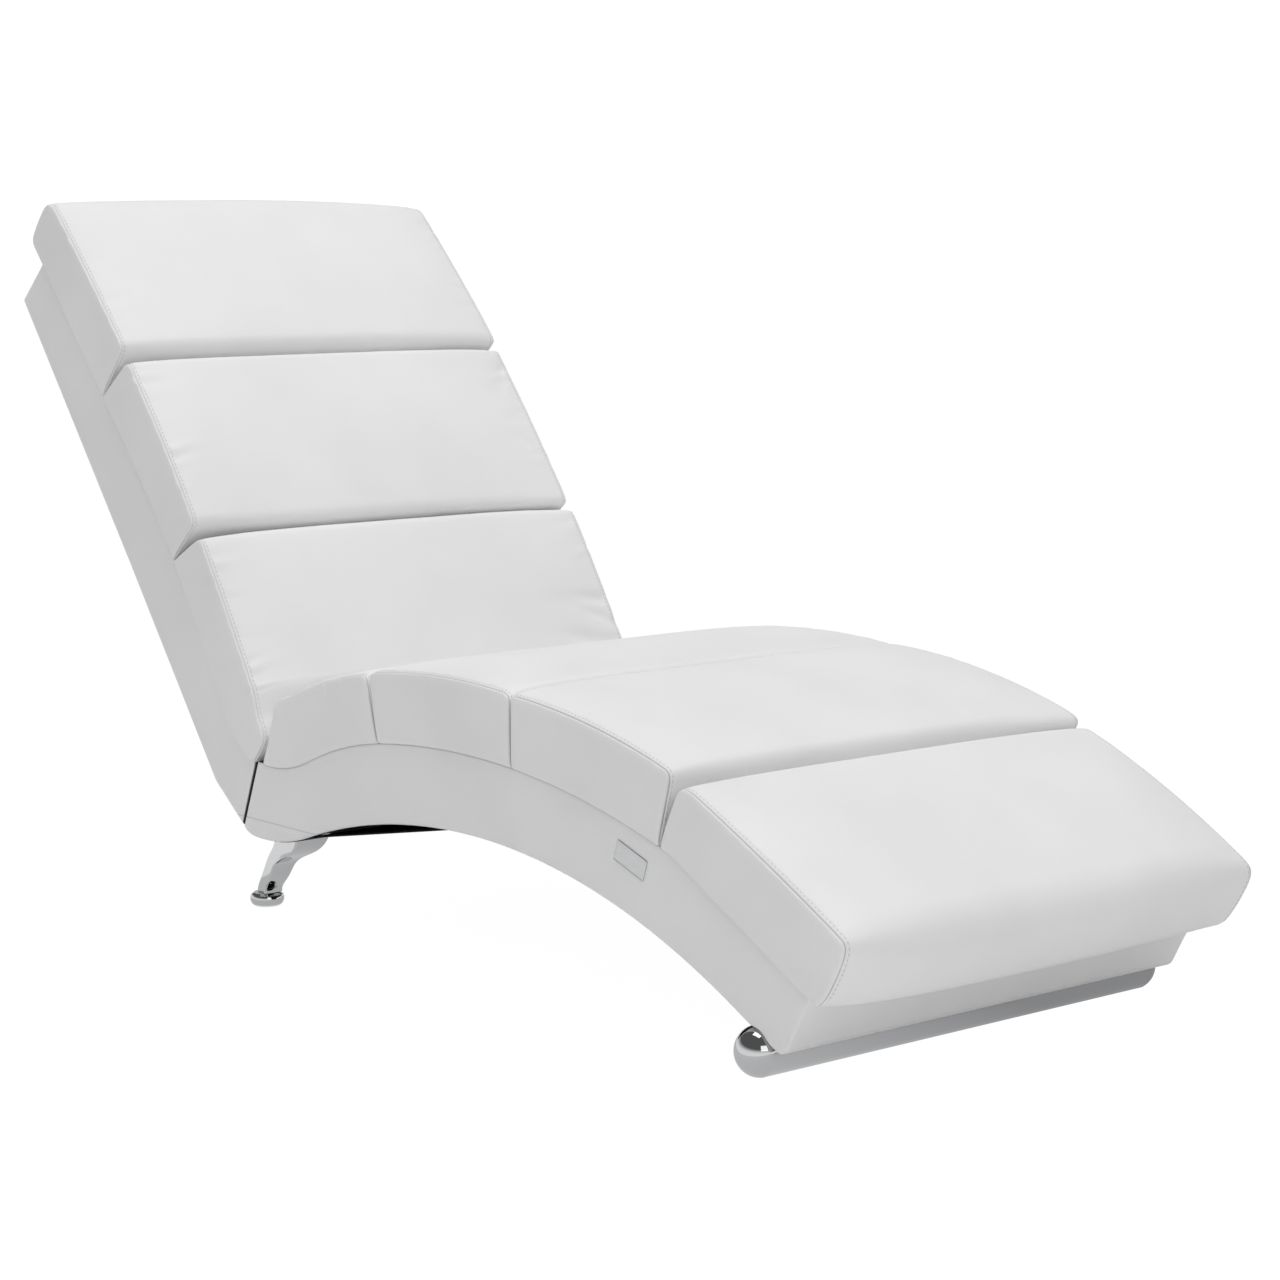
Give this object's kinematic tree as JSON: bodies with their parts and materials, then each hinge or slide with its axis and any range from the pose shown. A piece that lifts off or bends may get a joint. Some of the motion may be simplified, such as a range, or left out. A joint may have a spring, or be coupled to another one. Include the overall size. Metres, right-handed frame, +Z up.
{
  "type": "relaxation lounger",
  "caption": "Low curved chaise for one person: padded cushions on a raised back and an arched seat base, a round chrome foot in front and curved chrome legs behind.",
  "frame": {"origin": "on the floor, under the middle of the lounger's length and width", "axes": "+X from the head to the foot, +Y across the seat to its far side, +Z up"},
  "size_m": [1.5298, 0.569, 0.8188],
  "materials": {
    "white_leather": "fine matt grain",
    "base_leather": "fine matt grain",
    "foam": "open-cell foam",
    "plywood": "raw plywood",
    "hardboard": "smooth hardboard",
    "zinc_steel": "zinc plated",
    "chrome": "polished chrome plate",
    "glide_chrome": "polished chrome plate",
    "black_cloth": "thin non-woven cloth",
    "bare_plate": "satin, bare"
  },
  "bodies": {
    "lounger": {"head_cushion": "white_leather", "head_foam": "foam", "shoulder_cushion": "white_leather", "shoulder_foam": "foam", "lumbar_cushion": "white_leather", "lumbar_foam": "foam", "hip_cushion": "white_leather", "hip_foam": "foam", "seat_cushion": "white_leather", "seat_foam": "foam", "thigh_cushion": "white_leather", "thigh_foam": "foam", "leg_cushion": "white_leather", "leg_foam": "foam", "seat_base_cover": "base_leather", "back_base_cover": "base_leather", "seat_side_panel_far": "plywood", "seat_side_panel_near": "plywood", "seat_rear_rail": "plywood", "foot_board": "plywood", "rear_arch_rail": "plywood", "front_arch_rail": "plywood", "tube_rail": "plywood", "leg_board": "plywood", "back_side_rail_far": "plywood", "back_side_rail_near": "plywood", "back_top_rail": "plywood", "back_upper_rail": "plywood", "back_lower_rail": "plywood", "back_bottom_rail": "plywood", "seat_deck": "hardboard", "back_deck": "hardboard", "back_rear_panel": "hardboard", "seat_frame_screws": "zinc_steel", "back_frame_screws": "zinc_steel", "joint_bolts": "zinc_steel", "joint_washers": "zinc_steel", "joint_tee_nuts": "zinc_steel", "foot_tube_screws": "zinc_steel", "leg_screws": "zinc_steel", "leg_insert_far": "zinc_steel", "leg_insert_near": "zinc_steel", "foot_tube": "chrome", "tube_cap_far": "chrome", "tube_cap_near": "chrome", "rear_leg_far": "chrome", "rear_leg_near": "chrome", "dust_cover": "black_cloth", "label_plate": "bare_plate"},
    "far_glide": {"glide_far": "glide_chrome"},
    "near_glide": {"glide_near": "glide_chrome"}
  },
  "joints": [
    {"name": "far_glide_thread", "type": "slide", "parent": "lounger", "child": "far_glide", "axis": [0, 0, -1], "range_m": [0, 0.008]},
    {"name": "near_glide_thread", "type": "slide", "parent": "lounger", "child": "near_glide", "axis": [0, 0, -1], "range_m": [0, 0.008]}
  ]
}
